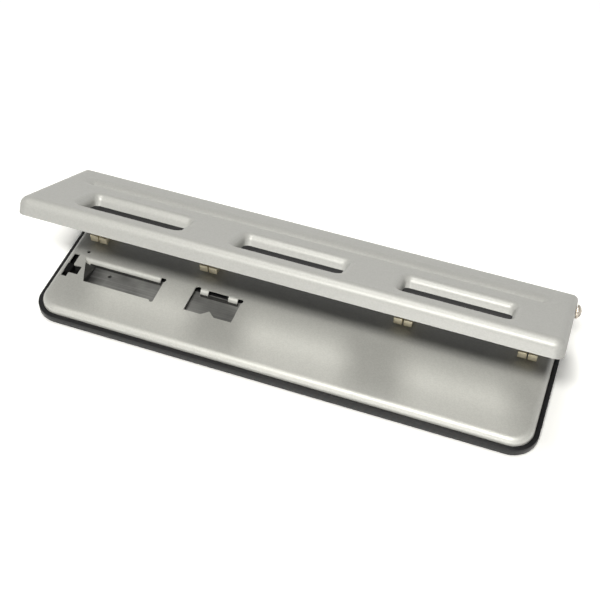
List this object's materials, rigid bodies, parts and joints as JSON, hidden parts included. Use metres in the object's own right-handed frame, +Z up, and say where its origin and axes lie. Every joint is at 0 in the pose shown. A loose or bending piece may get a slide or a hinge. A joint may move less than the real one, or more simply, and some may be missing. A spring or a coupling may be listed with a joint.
{
  "type": "strip binding machine",
  "caption": "Desktop strip binding machine: low tray base with a pressed silver cover, brass punch heads and a hinged press lid with finger slots.",
  "frame": {"origin": "on the table, under the middle of the base", "axes": "+X along the machine to the user's right, +Y from the front to the hinge, +Z up"},
  "size_m": [0.3256, 0.0992, 0.0862],
  "materials": {
    "silver_paint": "satin metallic grey paint on pressed steel",
    "tray_plastic": "black moulded plastic, low sheen",
    "foot_rubber": "matt",
    "tab_plastic": "black moulded plastic",
    "slide_steel": "rolled steel with rubbing marks",
    "plain_steel": "zinc-plated steel sheet",
    "rail_black": "matt black paint on folded steel",
    "fastener_steel": "zinc-plated",
    "pin_steel": "ground tool steel",
    "spring_steel": "drawn spring wire",
    "head_brass": "machined",
    "bush_brass": "turned",
    "nickel": "dull nickel plate"
  },
  "bodies": {
    "base": {"base_tray": "tray_plastic", "rubber_feet": "foot_rubber", "counter_plate": "plain_steel", "base_cover": "silver_paint", "cover_posts": "plain_steel", "tray_screws": "fastener_steel", "die_rail": "plain_steel", "punch_head_1": "head_brass", "punch_head_2": "head_brass", "punch_head_3": "head_brass", "punch_head_4": "head_brass", "head_screws": "fastener_steel", "pin_spring_1": "spring_steel", "pin_spring_2": "spring_steel", "pin_spring_3": "spring_steel", "pin_spring_4": "spring_steel", "hinge_bracket_left": "plain_steel", "hinge_bracket_right": "plain_steel", "bracket_screws": "fastener_steel", "bracket_nuts": "fastener_steel", "pivot_washers": "fastener_steel", "pivot_nuts": "fastener_steel", "pivot_screw_left": "nickel", "pivot_screw_right": "nickel"},
    "lid": {"lid_shell": "silver_paint", "press_rail": "rail_black", "pivot_bushes": "bush_brass"},
    "pin_1": {"punch_pin_1": "pin_steel"},
    "pin_2": {"punch_pin_2": "pin_steel"},
    "pin_3": {"punch_pin_3": "pin_steel"},
    "pin_4": {"punch_pin_4": "pin_steel"},
    "slide": {"trim_slide": "slide_steel", "finger_tab": "tab_plastic"}
  },
  "joints": [
    {"name": "lid_hinge", "type": "hinge", "parent": "base", "child": "lid", "pos_m": [0, 0.0307, 0.0439], "axis": [1, 0, 0], "range_deg": [0, 29.2], "stiffness_Nm_per_rad": 0.5, "springref_deg": -45.84},
    {"name": "pin_1_slide", "type": "slide", "parent": "base", "child": "pin_1", "axis": [0, 0, -1], "range_m": [0, 0.0065], "deforming": ["pin_spring_1"]},
    {"name": "pin_2_slide", "type": "slide", "parent": "base", "child": "pin_2", "axis": [0, 0, -1], "range_m": [0, 0.0065], "deforming": ["pin_spring_2"]},
    {"name": "pin_3_slide", "type": "slide", "parent": "base", "child": "pin_3", "axis": [0, 0, -1], "range_m": [0, 0.0065], "deforming": ["pin_spring_3"]},
    {"name": "pin_4_slide", "type": "slide", "parent": "base", "child": "pin_4", "axis": [0, 0, -1], "range_m": [0, 0.0065], "deforming": ["pin_spring_4"]},
    {"name": "trim_slide_travel", "type": "slide", "parent": "base", "child": "slide", "axis": [1, 0, 0], "range_m": [0, 0.005]}
  ],
  "couplings": [
    {"joint": "pin_1_slide", "follows": "lid_hinge", "m_per_rad": 0.01268},
    {"joint": "pin_2_slide", "follows": "lid_hinge", "m_per_rad": 0.01268},
    {"joint": "pin_3_slide", "follows": "lid_hinge", "m_per_rad": 0.01268},
    {"joint": "pin_4_slide", "follows": "lid_hinge", "m_per_rad": 0.01268}
  ]
}
